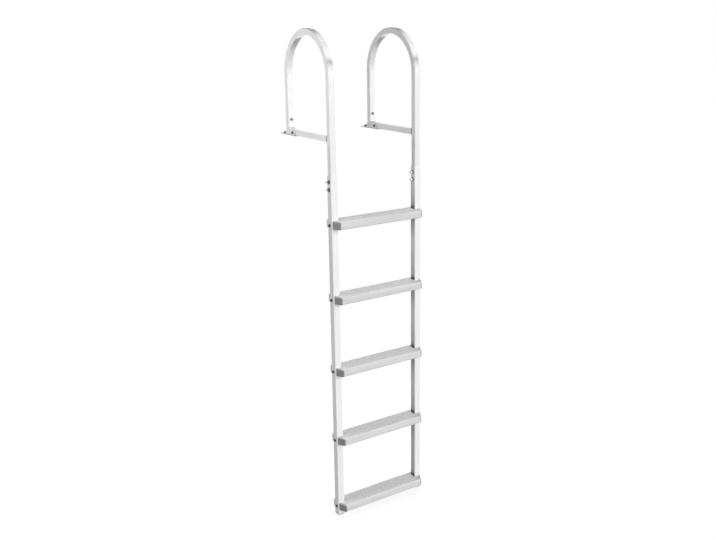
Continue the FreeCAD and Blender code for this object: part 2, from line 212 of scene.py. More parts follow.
class LadderSettings(bpy.types.PropertyGroup):
    """Everything that can be changed about the ladder."""

    colours: PointerProperty(name="Colours", description="Finish colours", type=LadderColours)
    sizes: PointerProperty(name="Sizes", description="Small part sizes", type=LadderSizes)
    stage: PointerProperty(name="Stage", description="Light, floor and camera", type=LadderStage)


def colours_and_sizes(context):
    """What the user has set for the ladder's finishes and small parts."""
    settings = context.scene.dock_ladder
    return settings.colours, settings.sizes


def add_node(tree, kind, inputs=None, **settings):
    """Add a node with its settings. Its inputs take values, sockets, or nodes for their first output."""
    node = tree.nodes.new(kind)
    for name, value in settings.items():
        setattr(node, name, value)
    for key, value in (inputs or {}).items():
        if isinstance(value, bpy.types.Node):
            value = value.outputs[0]
        if isinstance(value, bpy.types.NodeSocket):
            tree.links.new(value, node.inputs[key])
        else:
            node.inputs[key].default_value = value
    return node


def new_material(name):
    """Empty node material and its tree."""
    material = bpy.data.materials.new(name)
    material.use_nodes = True
    material.node_tree.nodes.clear()
    return material, material.node_tree


def end_material(material, tree, values):
    """Finish a material: its surface takes these values."""
    surface = add_node(tree, "ShaderNodeBsdfPrincipled", values)
    add_node(tree, "ShaderNodeOutputMaterial", {"Surface": surface})
    return material


def finish_nodes(nodes, material):
    """Give carried-over nodes their finish."""
    for name in nodes:
        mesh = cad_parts[name].data
        mesh.materials.clear()
        mesh.materials.append(material)


def object_axes(tree):
    """X, Y and Z of the Object coordinates."""
    place = add_node(tree, "ShaderNodeTexCoord").outputs["Object"]
    return add_node(tree, "ShaderNodeSeparateXYZ", {0: place}).outputs


def along_axis(tree, squeeze):
    """Object coordinates squeezed along one axis, so that noise on them draws streaks that way."""
    place = add_node(tree, "ShaderNodeTexCoord").outputs["Object"]
    return add_node(tree, "ShaderNodeVectorMath", {0: place, 1: squeeze}, operation="MULTIPLY")


def from_bend(tree, sizes, xyz):
    """Depth and rise of a point from the centre of a hoop's bend."""
    depth = add_node(tree, "ShaderNodeMath", {0: xyz["Y"], 1: sizes.hoop_depth / 2}, operation="ADD")
    rise = add_node(tree, "ShaderNodeMath", {0: xyz["Z"], 1: sizes.bend_start}, operation="SUBTRACT")
    return depth, rise


def distance(tree, depth, rise):
    """Distance that goes with a depth and a rise."""
    arm = add_node(tree, "ShaderNodeCombineXYZ", {"Y": depth, "Z": rise})
    return add_node(tree, "ShaderNodeVectorMath", {0: arm}, operation="LENGTH").outputs["Value"]


def around_bend(tree, sizes):
    """Coordinates across the tube of a hoop, so that streaks follow its legs and its bend."""
    xyz = object_axes(tree)
    depth, rise = from_bend(tree, sizes, xyz)
    above = add_node(tree, "ShaderNodeMath", {0: rise, 1: 0.0}, operation="MAXIMUM")
    slow = add_node(tree, "ShaderNodeMath", {0: xyz["Z"], 1: SQUEEZE}, operation="MULTIPLY")
    return add_node(
        tree, "ShaderNodeCombineXYZ", {"X": xyz["X"], "Y": distance(tree, depth, above), "Z": slow})


def from_middle(tree, sizes, xyz):
    """How far a point lies to either side of the middle between the stiles."""
    across = add_node(tree, "ShaderNodeMath", {0: xyz["X"], 1: sizes.rail_spacing / 2}, operation="SUBTRACT")
    return add_node(tree, "ShaderNodeMath", {0: across}, operation="ABSOLUTE")


def outer_and_inner(tree, reach, spacing, width, edge_start, edge_end):
    """Shares on the outer and on the inner faces of two tubes.

    The reach counts from the middle between the tubes, and the spacing from centre to centre. A share rises
    from 0 to 1 between the two edge depths below its face.
    """
    shares = []
    for side in (1, -1):
        face = (spacing + side * width) / 2
        shares.append(add_node(tree, "ShaderNodeMapRange", {
            "Value": reach, "From Min": face - side * edge_start, "From Max": face - side * edge_end}))
    return shares


def both_faces(tree, outer, outside, inner, inside):
    """One amount on the outer faces and another on the inner faces."""
    on_outside = add_node(tree, "ShaderNodeMath", {0: outer, 1: outside}, operation="MULTIPLY")
    return add_node(tree, "ShaderNodeMath", {0: inner, 1: inside, 2: on_outside}, operation="MULTIPLY_ADD")


def share_along(tree, place, stops):
    """Share between 0 and 1 that follows a list of (place, share) stops."""
    ramp = add_node(tree, "ShaderNodeValToRGB", {0: place})
    elements = ramp.color_ramp.elements
    elements.remove(elements[1])
    elements[0].position = stops[0][0]
    elements[0].color = (stops[0][1], stops[0][1], stops[0][1], 1.0)
    for position, share in stops[1:]:
        elements.new(position).color = (share, share, share, 1.0)
    return ramp


def bend_faces(tree, sizes):
    """Angle from the crown as a share of a quarter turn, and the shares on the bend's outside and inside."""
    depth, rise = from_bend(tree, sizes, object_axes(tree))
    reach = distance(tree, depth, rise)
    outside, inside = outer_and_inner(tree, reach, sizes.hoop_depth, sizes.tube_size, 2.3 * MM, 0.9 * MM)
    angle = add_node(tree, "ShaderNodeMath", {0: rise, 1: depth}, operation="ARCTAN2")
    quarter_turn = math.pi / 2
    turned = add_node(tree, "ShaderNodeMath", {0: angle, 1: quarter_turn}, operation="SUBTRACT")
    aside = add_node(tree, "ShaderNodeMath", {0: turned}, operation="ABSOLUTE")
    share = add_node(tree, "ShaderNodeMath", {0: aside, 1: quarter_turn}, operation="DIVIDE")
    return share, outside, inside


def highlighted(tree, sizes):
    """How much painted highlight a hoop has: on the outside of its bend, and on the underside of its crown.
    """
    share, outside, inside = bend_faces(tree, sizes)
    # Painted highlight on the outside of the bend.
    die = ((0.26, 0.0), (0.36, 0.4), (0.6, 0.48), (0.7, 0.3), (0.8, 0.0))
    # Painted highlight on the underside of the crown.
    underside_highlight = ((0.0, 1.0), (0.2, 1.0), (0.3, 0.0))
    return both_faces(tree, share_along(tree, share, die), outside, share_along(tree, share, underside_highlight), inside)


def painted_bend_shade(tree, sizes):
    """How much painted reflection and painted shade darken a hoop.

    On the outside of the bend, dark reflections are painted most at the crown and in a band towards the
    legs. Its inside is darkened by painted shade. Below the deck the sides of the long leg get painted
    shade.
    """
    share, outside, inside = bend_faces(tree, sizes)
    # Painted dark reflections on the outside of the bend: at the crown, and in a band towards the legs.
    crown = ((0.0, 0.85), (0.2, 0.85), (0.31, 0.42), (0.44, 0.08))
    mark_reflection = ((0.66, 0.04), (0.73, 0.26), (0.79, 0.6), (0.87, 0.26), (0.97, 0.0))
    # Painted shade on the inside of the bend.
    squeezed = ((0.16, 0.0), (0.27, 0.16), (0.4, 0.42), (0.5, 0.28), (0.6, 0.08), (0.72, 0.0))
    dark_reflections = share_along(tree, share, crown + mark_reflection)
    on_bend = both_faces(tree, dark_reflections, outside, share_along(tree, share, squeezed), inside)
    xyz = object_axes(tree)
    outer, inner = outer_and_inner(
        tree, from_middle(tree, sizes, xyz), sizes.rail_spacing, sizes.tube_size, 1.2 * MM, 0.3 * MM)
    on_sides = add_node(tree, "ShaderNodeMath", {0: outer, 1: inner}, operation="ADD")
    # Painted shade on the sides of the legs just below the deck.
    unshaded_above = -8 * MM
    shaded_below = -22 * MM
    deck_shadow = add_node(
        tree, "ShaderNodeMapRange",
        {"Value": xyz["Z"], "From Min": unshaded_above, "From Max": shaded_below, "To Max": 0.17})
    return add_node(tree, "ShaderNodeMath", {0: on_sides, 1: deck_shadow, 2: on_bend}, operation="MULTIPLY_ADD")


def near_steps(tree, sizes):
    """How much painted shade lies on a stile.

    On the inner faces it is a painted shadow, most just above a step, and some below it. The outer faces
    are darkened a little in the upper half by painted shade.
    """
    xyz = object_axes(tree)
    outside, inside = outer_and_inner(
        tree, from_middle(tree, sizes, xyz), sizes.rail_spacing, sizes.stile_size, 1.5 * MM, 0.2 * MM)
    from_first = add_node(tree, "ShaderNodeMath", {0: xyz["Z"], 1: sizes.first_step}, operation="ADD")
    in_steps = add_node(tree, "ShaderNodeMath", {0: from_first, 1: sizes.step_pitch}, operation="DIVIDE")
    share = add_node(tree, "ShaderNodeMath", {0: in_steps}, operation="FRACT")
    # Painted shadow of each step on the inner faces: darkest just above the step, and some below it.
    above = ((0.0, 1.0), (0.028, 0.95), (0.045, 0.58), (0.1, 0.42), (0.3, 0.25), (0.45, 0.13))
    below = ((0.62, 0.13), (0.77, 0.3), (0.83, 0.42), (0.893, 1.0))
    # Painted shade on the outer faces, darker towards the top.
    shade_start = -950 * MM
    shade_end = -550 * MM
    shaded = add_node(
        tree, "ShaderNodeMapRange",
        {"Value": xyz["Z"], "From Min": shade_start, "From Max": shade_end, "To Min": 0.04, "To Max": 0.19})
    return both_faces(tree, shaded, outside, share_along(tree, share, above + below), inside)


def near_deck(tree):
    """How much painted shade lies on a bracket: most along its lower edge, a painted shadow where it meets
    the deck.
    """
    unshaded_above = 3.6 * MM
    shaded_below = 1.6 * MM
    return add_node(
        tree, "ShaderNodeMapRange",
        {"Value": object_axes(tree)["Z"], "From Min": unshaded_above, "From Max": shaded_below, "To Max": 0.6})


def satin_aluminium(name, colour, streak_colour, follow, metal=0.1, gloss=SATIN, painted_dark=None, painted_highlight=None):
    """Drawn or extruded aluminium, etched and clear anodised.

    The oxide layer scatters light, so it looks pale and satin, more like a soft sheen than a mirror.
    Die lines run along the tube. Real ones are about 0.2 mm apart, and here they are drawn 1.2 mm and 6 mm
    wide, because finer ones would not show. Where painted dark is given as a colour and a share, it
    darkens and dulls the surface in blotches of about 8 mm, as painted shade and painted reflections. Where
    a painted highlight is given as a colour and a share, the surface turns paler and more metallic, a
    painted highlight that mirrors what is round it.
    """
    fine_line = 1.2 * MM
    broad_line = 6 * MM
    blotch = 8 * MM
    material, tree = new_material(name)
    streaks = follow(tree)
    fine = add_node(tree, "ShaderNodeTexNoise", {"Vector": streaks, "Scale": 1 / fine_line, "Detail": 3.0})
    broad = add_node(tree, "ShaderNodeTexNoise", {"Vector": streaks, "Scale": 1 / broad_line, "Detail": 2.0})
    share = add_node(tree, "ShaderNodeMapRange", {"Value": broad, "From Min": 0.35, "From Max": 0.65})
    tone = add_node(
        tree, "ShaderNodeMix", {0: share, 6: colour, 7: streak_colour}, data_type="RGBA").outputs[2]
    roughness = add_node(
        tree, "ShaderNodeMapRange", {"Value": fine, **NOISE, "To Min": gloss[0], "To Max": gloss[1]})
    lines = add_node(tree, "ShaderNodeBump", {"Height": fine, "Strength": 0.12, "Distance": 0.1 * MM})
    # Painted highlight: a paler colour, and more metal.
    if painted_highlight:
        highlight_colour, highlight_share = painted_highlight
        highlight_amount = highlight_share(tree)
        tone = add_node(
            tree, "ShaderNodeMix", {0: highlight_amount, 6: tone, 7: highlight_colour}, data_type="RGBA").outputs[2]
        metal = add_node(tree, "ShaderNodeMapRange", {"Value": highlight_amount, "To Min": metal, "To Max": 0.75})
    # Painted shade and painted dark reflections, uneven in blotches.
    if painted_dark:
        dark_colour, dark_share = painted_dark
        place = add_node(tree, "ShaderNodeTexCoord").outputs["Object"]
        blotches = add_node(
            tree, "ShaderNodeTexNoise", {"Vector": place, "Scale": 1 / blotch, "Detail": 3.0})
        uneven = add_node(
            tree, "ShaderNodeMapRange", {"Value": blotches, **NOISE, "To Min": 0.75, "To Max": 1.15})
        cover = add_node(
            tree, "ShaderNodeMath", {0: dark_share(tree), 1: uneven}, operation="MULTIPLY", use_clamp=True)
        tone = add_node(
            tree, "ShaderNodeMix", {0: cover, 6: tone, 7: dark_colour}, data_type="RGBA").outputs[2]
        roughness = add_node(
            tree, "ShaderNodeMapRange", {"Value": cover, "To Min": roughness, "To Max": 0.85})
    return end_material(
        material, tree, {"Base Color": tone, "Roughness": roughness, "Metallic": metal, "Normal": lines})


def moulded_plastic(name, colour, back_colour, sizes):
    """Injection-moulded nylon with a fine spark-eroded skin, satin and without grain.

    The skin's real grain is about 0.1 mm, and here it is drawn 0.8 mm wide, so that it shows. Its tone
    clouds over about 14 mm.
    Plugs behind the stiles are moulded in the second colour, and the upper rim of those in front is nearly
    as pale.
    """
    grain_width = 0.8 * MM
    cloud_width = 14 * MM
    rim_start = -4.8 * MM
    rim_end = -3.6 * MM
    material, tree = new_material(name)
    place = add_node(tree, "ShaderNodeTexCoord").outputs["Object"]
    grain = add_node(tree, "ShaderNodeTexNoise", {"Vector": place, "Scale": 1 / grain_width, "Detail": 3.0})
    cloud = add_node(tree, "ShaderNodeTexNoise", {"Vector": place, "Scale": 1 / cloud_width, "Detail": 2.0})
    shade = add_node(tree, "ShaderNodeMapRange", {"Value": cloud, **NOISE, "To Min": 0.94, "To Max": 1.04})
    xyz = object_axes(tree)
    behind = add_node(tree, "ShaderNodeMath", {0: xyz["Y"], 1: -sizes.hoop_depth}, operation="GREATER_THAN")
    from_first = add_node(tree, "ShaderNodeMath", {0: xyz["Z"], 1: sizes.first_step}, operation="ADD")
    below_top = add_node(
        tree, "ShaderNodeMath", {0: from_first, 1: -sizes.step_pitch, 2: 0.0}, operation="WRAP")
    rim = add_node(
        tree, "ShaderNodeMapRange",
        {"Value": below_top, "From Min": rim_start, "From Max": rim_end, "To Max": 0.75})
    pale = add_node(tree, "ShaderNodeMath", {0: behind, 1: rim}, operation="MAXIMUM")
    paint = add_node(
        tree, "ShaderNodeMix", {0: pale, 6: colour, 7: back_colour}, data_type="RGBA").outputs[2]
    tint = add_node(tree, "ShaderNodeVectorMath", {0: paint, 3: shade}, operation="SCALE")
    gloss = add_node(tree, "ShaderNodeMapRange", {"Value": grain, **NOISE, "To Min": 0.45, "To Max": 0.6})
    skin = add_node(tree, "ShaderNodeBump", {"Height": grain, "Strength": 0.25, "Distance": 0.1 * MM})
    return end_material(
        material, tree, {"Base Color": tint, "Roughness": gloss, "IOR": 1.53, "Normal": skin})


def gritted_rubber(name, colour, fleck_colour):
    """Compression-moulded rubber filled with grit, dull and slightly speckled.

    Real grit is about 0.5 mm. Here its flecks are drawn 3 mm wide, so that they show, and its bumps 0.7 mm.
    Rubber with flecks of its own colour looks plain.
    """
    fleck_width = 3 * MM
    grit_width = 0.7 * MM
    material, tree = new_material(name)
    place = add_node(tree, "ShaderNodeTexCoord").outputs["Object"]
    flecks = add_node(tree, "ShaderNodeTexNoise", {"Vector": place, "Scale": 1 / fleck_width, "Detail": 2.0})
    grit = add_node(tree, "ShaderNodeTexNoise", {"Vector": place, "Scale": 1 / grit_width, "Detail": 2.0})
    share = add_node(tree, "ShaderNodeMapRange", {"Value": flecks, "From Min": 0.45, "From Max": 0.62})
    tint = add_node(
        tree, "ShaderNodeMix", {0: share, 6: colour, 7: fleck_colour}, data_type="RGBA").outputs[2]
    rough = add_node(tree, "ShaderNodeBump", {"Height": grit, "Strength": 0.5, "Distance": 0.3 * MM})
    return end_material(
        material, tree, {"Base Color": tint, "Roughness": 0.82, "IOR": 1.52, "Normal": rough})


def stainless_steel(name, colour, tip=None):
    """Cold-headed stainless steel, tumbled after forming, darker than the anodised tube.

    Tumbling leaves a fine cloudy grain of about 1 mm. Where a tip is given as a colour and a place along X,
    what lies to the left of that place has that colour, as painted shade of the thread at the bolt's free
    end.
    """
    grain_width = 1 * MM
    material, tree = new_material(name)
    place = add_node(tree, "ShaderNodeTexCoord").outputs["Object"]
    grain = add_node(tree, "ShaderNodeTexNoise", {"Vector": place, "Scale": 1 / grain_width, "Detail": 3.0})
    gloss = add_node(tree, "ShaderNodeMapRange", {"Value": grain, **NOISE, "To Min": 0.26, "To Max": 0.42})
    shade = add_node(tree, "ShaderNodeMapRange", {"Value": grain, **NOISE, "To Min": 0.85, "To Max": 1.1})
    paint = colour[:3]
    if tip:
        tip_colour, tip_start = tip
        along = object_axes(tree)["X"]
        beyond = add_node(tree, "ShaderNodeMath", {0: along, 1: tip_start}, operation="LESS_THAN")
        paint = add_node(
            tree, "ShaderNodeMix", {0: beyond, 6: colour, 7: tip_colour}, data_type="RGBA").outputs[2]
    tint = add_node(tree, "ShaderNodeVectorMath", {0: paint, 3: shade}, operation="SCALE")
    return end_material(material, tree, {"Base Color": tint, "Roughness": gloss, "Metallic": 1.0})


def new_tree(name, sockets):
    """Geometry node tree with named inputs and a material, and the sockets of its input node."""
    tree = bpy.data.node_groups.new(name, "GeometryNodeTree")
    tree.interface.new_socket("Geometry", in_out="OUTPUT", socket_type="NodeSocketGeometry")
    for label, kind in {**sockets, "Material": "Material"}.items():
        tree.interface.new_socket(label, in_out="INPUT", socket_type="NodeSocket" + kind)
    return tree, add_node(tree, "NodeGroupInput").outputs


def end_tree(tree, given, geometry):
    """Finish a tree: its result gets the given material."""
    finished = add_node(
        tree, "GeometryNodeSetMaterial", {"Geometry": geometry, "Material": given["Material"]})
    add_node(tree, "NodeGroupOutput", {0: finished})
    return tree


def made_by_nodes(name, tree, values):
    """Piece whose mesh is the plain result of a node tree."""
    piece = bpy.data.objects.new(name, bpy.data.meshes.new(name))
    bpy.context.scene.collection.objects.link(piece)
    modifier = piece.modifiers.new(name, "NODES")
    modifier.node_group = tree
    for socket in tree.interface.items_tree:
        if socket.in_out == "INPUT":
            modifier[socket.identifier] = values[socket.name]
    evaluated = piece.evaluated_get(bpy.context.evaluated_depsgraph_get())
    result = bpy.data.meshes.new_from_object(evaluated)
    piece.modifiers.clear()
    piece.data = result
    result.name = name
    return piece


def carry(piece):
    """Let a finished piece go with the ladder."""
    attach(piece, "root")


def weld_tree():
    """Rippled bead round the end of a square tube."""
    tree, given = new_tree("Weld bead", {
        "Tube size": "Float", "Corner": "Float", "Spacing": "Float", "Radius": "Float",
        "Lowest": "Float", "Centre": "Vector",
    })
    square = add_node(
        tree, "GeometryNodeCurvePrimitiveQuadrilateral",
        {"Width": given["Tube size"], "Height": given["Tube size"]})
    rounded = add_node(
        tree, "GeometryNodeFilletCurve",
        {"Curve": square, "Radius": given["Corner"], "Count": 4}, mode="POLY")
    ripples = add_node(
        tree, "GeometryNodeResampleCurve", {"Curve": rounded, "Length": given["Spacing"]}, mode="LENGTH")
    bead = add_node(
        tree, "GeometryNodeMeshUVSphere", {"Segments": 12, "Rings": 8, "Radius": given["Radius"]})
    smooth = add_node(tree, "GeometryNodeSetShadeSmooth", {"Geometry": bead})
    place = add_node(tree, "GeometryNodeInputPosition")
    height = add_node(tree, "ShaderNodeSeparateXYZ", {0: place}).outputs["Y"]
    kept = add_node(
        tree, "FunctionNodeCompare", {0: height, 1: given["Lowest"]},
        data_type="FLOAT", operation="GREATER_THAN")
    heading = add_node(tree, "GeometryNodeInputTangent")
    turned = add_node(tree, "FunctionNodeAlignRotationToVector", {"Vector": heading}, axis="X")
    flattened = (0.8, 1.0, 1.0)
    beads = add_node(tree, "GeometryNodeInstanceOnPoints", {
        "Points": ripples, "Selection": kept, "Instance": smooth, "Rotation": turned, "Scale": flattened})
    solid = add_node(tree, "GeometryNodeRealizeInstances", {0: beads})
    upright = (math.pi / 2, 0.0, 0.0)
    placed = add_node(
        tree, "GeometryNodeTransform",
        {"Geometry": solid, "Translation": given["Centre"], "Rotation": upright})
    return end_tree(tree, given, placed)


def along_row(tree, given, piece, rotation):
    """End a tree with a copy of the piece at each bolt of a row."""
    seats = add_node(
        tree, "GeometryNodeMeshLine",
        {"Count": given["Bolts"], "Start Location": given["First"], "Offset": given["Step"]}, mode="OFFSET")
    copies = add_node(
        tree, "GeometryNodeInstanceOnPoints", {"Points": seats, "Instance": piece, "Rotation": rotation})
    return end_tree(tree, given, add_node(tree, "GeometryNodeRealizeInstances", {0: copies}))


def thread_tree():
    """Thread ridges on the free ends of a row of bolts."""
    tree, given = new_tree("Bolt thread", {
        "Bolts": "Int", "First": "Vector", "Step": "Vector", "Axis": "Vector", "Turns": "Float",
        "Length": "Float", "Radius": "Float", "Ridge": "Float",
    })
    helix = add_node(
        tree, "GeometryNodeCurveSpiral",
        {"Resolution": 28, "Rotations": given["Turns"], "Start Radius": given["Radius"],
         "End Radius": given["Radius"], "Height": given["Length"]})
    ridge = add_node(tree, "GeometryNodeCurvePrimitiveCircle", {"Resolution": 4, "Radius": given["Ridge"]})
    swept = add_node(
        tree, "GeometryNodeCurveToMesh", {"Curve": helix, "Profile Curve": ridge, "Fill Caps": True})
    turned = add_node(tree, "FunctionNodeAlignRotationToVector", {"Vector": given["Axis"]}, axis="Z")
    return along_row(tree, given, swept, turned)


def shade_ring_tree():
    """Dark rubber rings round the nuts of a row of bolts, which paint the shade round each nut."""
    tree, given = new_tree("Nut seal", {
        "Bolts": "Int", "First": "Vector", "Step": "Vector", "Radius": "Float", "Thickness": "Float",
    })
    middle = add_node(
        tree, "GeometryNodeCurvePrimitiveCircle", {"Resolution": 40, "Radius": given["Radius"]})
    section = add_node(
        tree, "GeometryNodeCurvePrimitiveCircle", {"Resolution": 8, "Radius": given["Thickness"]})
    ring = add_node(tree, "GeometryNodeCurveToMesh", {"Curve": middle, "Profile Curve": section})
    smooth = add_node(tree, "GeometryNodeSetShadeSmooth", {"Geometry": ring})
    facing_sideways = (0.0, math.pi / 2, 0.0)
    return along_row(tree, given, smooth, facing_sideways)


def tread_tree():
    """Rubber sheet with staggered rows of short raised studs."""
    tree, given = new_tree("Studded tread", {
        "Length": "Float", "Width": "Float", "Thickness": "Float", "Studs": "Int", "Rows": "Int",
        "Stud pitch": "Float", "Row pitch": "Float", "Stud size": "Vector", "Centre": "Vector",
    })
    sheet_size = add_node(
        tree, "ShaderNodeCombineXYZ", {"X": given["Length"], "Y": given["Width"], "Z": given["Thickness"]})
    sheet = add_node(tree, "GeometryNodeMeshCube", {"Size": sheet_size})
    half_down = add_node(tree, "ShaderNodeMath", {0: given["Thickness"], 1: -0.5}, operation="MULTIPLY")
    below = add_node(tree, "ShaderNodeCombineXYZ", {"Z": half_down})
    lowered = add_node(tree, "GeometryNodeTransform", {"Geometry": sheet, "Translation": below})
    spans = []
    for count, pitch in (("Studs", "Stud pitch"), ("Rows", "Row pitch")):
        gaps = add_node(tree, "ShaderNodeMath", {0: given[count], 1: 1.0}, operation="SUBTRACT")
        spans.append(add_node(tree, "ShaderNodeMath", {0: gaps, 1: given[pitch]}, operation="MULTIPLY"))
    run, breadth = spans
    grid = add_node(
        tree, "GeometryNodeMeshGrid",
        {"Size X": run, "Size Y": breadth, "Vertices X": given["Studs"], "Vertices Y": given["Rows"]})
    # Every second row slides half a stud pitch, a quarter to each side of the middle.
    index = add_node(tree, "GeometryNodeInputIndex")
    row = add_node(tree, "ShaderNodeMath", {0: index, 1: given["Rows"]}, operation="MODULO")
    odd = add_node(tree, "ShaderNodeMath", {0: row, 1: 2.0}, operation="MODULO")
    swing = add_node(tree, "ShaderNodeMath", {0: odd, 1: 0.5}, operation="SUBTRACT")
    slide = add_node(tree, "ShaderNodeMath", {0: swing, 1: given["Stud pitch"]}, operation="MULTIPLY")
    half_slide = add_node(tree, "ShaderNodeMath", {0: slide, 1: 0.5}, operation="MULTIPLY")
    offset = add_node(tree, "ShaderNodeCombineXYZ", {"X": half_slide})
    staggered = add_node(tree, "GeometryNodeSetPosition", {"Geometry": grid, "Offset": offset})
    # A cone with four sides is a square post, measured to its corners and turned to lie along the step.
    foot_radius = 0.5 * math.sqrt(2)
    top_radius = 0.42 * math.sqrt(2)
    peg = add_node(tree, "GeometryNodeMeshCone", {
        "Vertices": 4, "Radius Top": top_radius, "Radius Bottom": foot_radius, "Depth": 1.0})
    eighth_turn = (0.0, 0.0, math.pi / 4)
    squared = add_node(tree, "GeometryNodeTransform", {"Geometry": peg, "Rotation": eighth_turn})
    studs = add_node(tree, "GeometryNodeInstanceOnPoints", {
        "Points": staggered, "Instance": squared, "Scale": given["Stud size"]})
    solid = add_node(tree, "GeometryNodeRealizeInstances", {0: studs})
    joined = add_node(tree, "GeometryNodeJoinGeometry")
    for piece in (lowered, solid):
        tree.links.new(piece.outputs[0], joined.inputs[0])
    placed = add_node(tree, "GeometryNodeTransform", {"Geometry": joined, "Translation": given["Centre"]})
    return end_tree(tree, given, placed)


def lathe(mesh, profile, sides, centre):
    """Closed ring of faces from a profile of (radius, height) points, turned round an upright axis."""
    rings = []
    for radius, height in profile:
        ring = []
        for turn in range(sides):
            angle = 2 * math.pi * turn / sides
            spoke = Vector((radius * math.cos(angle), radius * math.sin(angle), height))
            ring.append(mesh.verts.new(centre + spoke))
        rings.append(ring)
    for lower, upper in zip(rings, rings[1:]):
        for turn in range(sides):
            following = (turn + 1) % sides
            mesh.faces.new((lower[turn], lower[following], upper[following], upper[turn]))
    mesh.faces.new(tuple(reversed(rings[0])))
    mesh.faces.new(tuple(rings[-1]))


class LADDER_OT_hoops(bpy.types.Operator):
    """Anodise the two hoops, with die lines that follow their bends."""

    bl_idname = "ladder.hoops"
    bl_label = "Hoops"

    def execute(self, context):
        colours, sizes = colours_and_sizes(context)
        # The bends carry painted highlights, and painted dark reflections and painted shade.
        finish = satin_aluminium(
            "drawn_aluminium_bent", colours.tube, colours.tube_streak,
            lambda tree: around_bend(tree, sizes),
            painted_dark=(colours.reflection_and_shade, lambda tree: painted_bend_shade(tree, sizes)),
            painted_highlight=(colours.painted_highlight, lambda tree: highlighted(tree, sizes)))
        finish_nodes(["hoop_" + side for side in SIDES], finish)
        return {"FINISHED"}


class LADDER_OT_crossbars(bpy.types.Operator):
    """Anodise the crossbars and lay the weld beads at their ends."""

    bl_idname = "ladder.crossbars"
    bl_label = "Crossbars and welds"

    def execute(self, context):
        colours, sizes = colours_and_sizes(context)
        finish = satin_aluminium(
            "drawn_aluminium_crossbar", colours.crossbar, colours.tube,
            lambda tree: along_axis(tree, (1.0, SQUEEZE, 1.0)), gloss=MATT)
        weld = satin_aluminium(
            "weld_aluminium", colours.weld, colours.weld_shade,
            lambda tree: along_axis(tree, (1.0, 1.0, 1.0)))
        tree = weld_tree()
        for side in SIDES:
            finish_nodes(["crossbar_" + side], finish)
            low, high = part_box("crossbar_" + side)
            size = high.z - low.z
            middle = (low + high) / 2
            all_round = -size
            top_only = size / 2 - 0.5 * MM
            for end, depth, lowest in (("front", low.y, all_round), ("back", high.y, top_only)):
                piece = made_by_nodes("crossbar_weld_%s_%s" % (end, side), tree, {
                    "Tube size": size,
                    "Corner": sizes.tube_corner,
                    "Spacing": sizes.weld_spacing,
                    "Radius": sizes.weld_radius,
                    "Lowest": lowest,
                    "Centre": Vector((middle.x, depth, middle.z)),
                    "Material": weld,
                })
                carry(piece)
        return {"FINISHED"}


class LADDER_OT_stiles(bpy.types.Operator):
    """Anodise the stiles and finish the plugs in their lower ends."""

    bl_idname = "ladder.stiles"
    bl_label = "Stiles"

    def execute(self, context):
        colours, sizes = colours_and_sizes(context)
        # The stiles carry painted shade by the steps.
        finish = satin_aluminium(
            "extruded_aluminium_stile", colours.stile, colours.tube,
            lambda tree: along_axis(tree, (1.0, 1.0, SQUEEZE)),
            painted_dark=(colours.painted_shade, lambda tree: near_steps(tree, sizes)))
        finish_nodes(["stile_" + side for side in SIDES], finish)
        foot = moulded_plastic("moulded_nylon_foot", colours.plug, colours.plug, sizes)
        finish_nodes(["stile_plug_" + side for side in SIDES], foot)
        return {"FINISHED"}


class LADDER_OT_brackets(bpy.types.Operator):
    """Finish the deck brackets and seat a screw and washer in each one's tab."""

    bl_idname = "ladder.brackets"
    bl_label = "Deck brackets"

    def execute(self, context):
        colours, sizes = colours_and_sizes(context)
        # The brackets carry a painted shadow along their lower edge.
        finish = satin_aluminium(
            "bent_aluminium_plate", colours.bracket, colours.step_streak,
            lambda tree: along_axis(tree, (1.0, SQUEEZE, 1.0)), gloss=MATT, painted_dark=(colours.painted_shade, near_deck))
        steel = stainless_steel("stainless_hold_down_screw", colours.screw)
        rim = 0.3 * MM
        radius = sizes.screw_washer_radius
        thickness = sizes.screw_washer_height
        washer = ((radius - rim, 0.0), (radius, rim), (radius, thickness - rim), (radius - rim, thickness))
        chamfer = 1.2 * MM
        corner = sizes.screw_across_flats / math.sqrt(3)
        height = sizes.screw_head_height
        head = ((corner, 0.0), (corner, height - chamfer), (corner - chamfer, height))
        for side in SIDES:
            finish_nodes(["foot_bracket_" + side], finish)
            low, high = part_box("foot_bracket_" + side)
            seat = Vector(((low.x + high.x) / 2, sizes.hold_down_offset, sizes.plate))
            mesh = bmesh.new()
            lathe(mesh, washer, 40, seat)
            lathe(mesh, head, 6, seat + Vector((0, 0, thickness)))
            data = bpy.data.meshes.new("hold_down_screw_" + side)
            mesh.to_mesh(data)
            mesh.free()
            data.materials.append(steel)
            piece = bpy.data.objects.new("hold_down_screw_" + side, data)
            context.scene.collection.objects.link(piece)
            carry(piece)
        return {"FINISHED"}


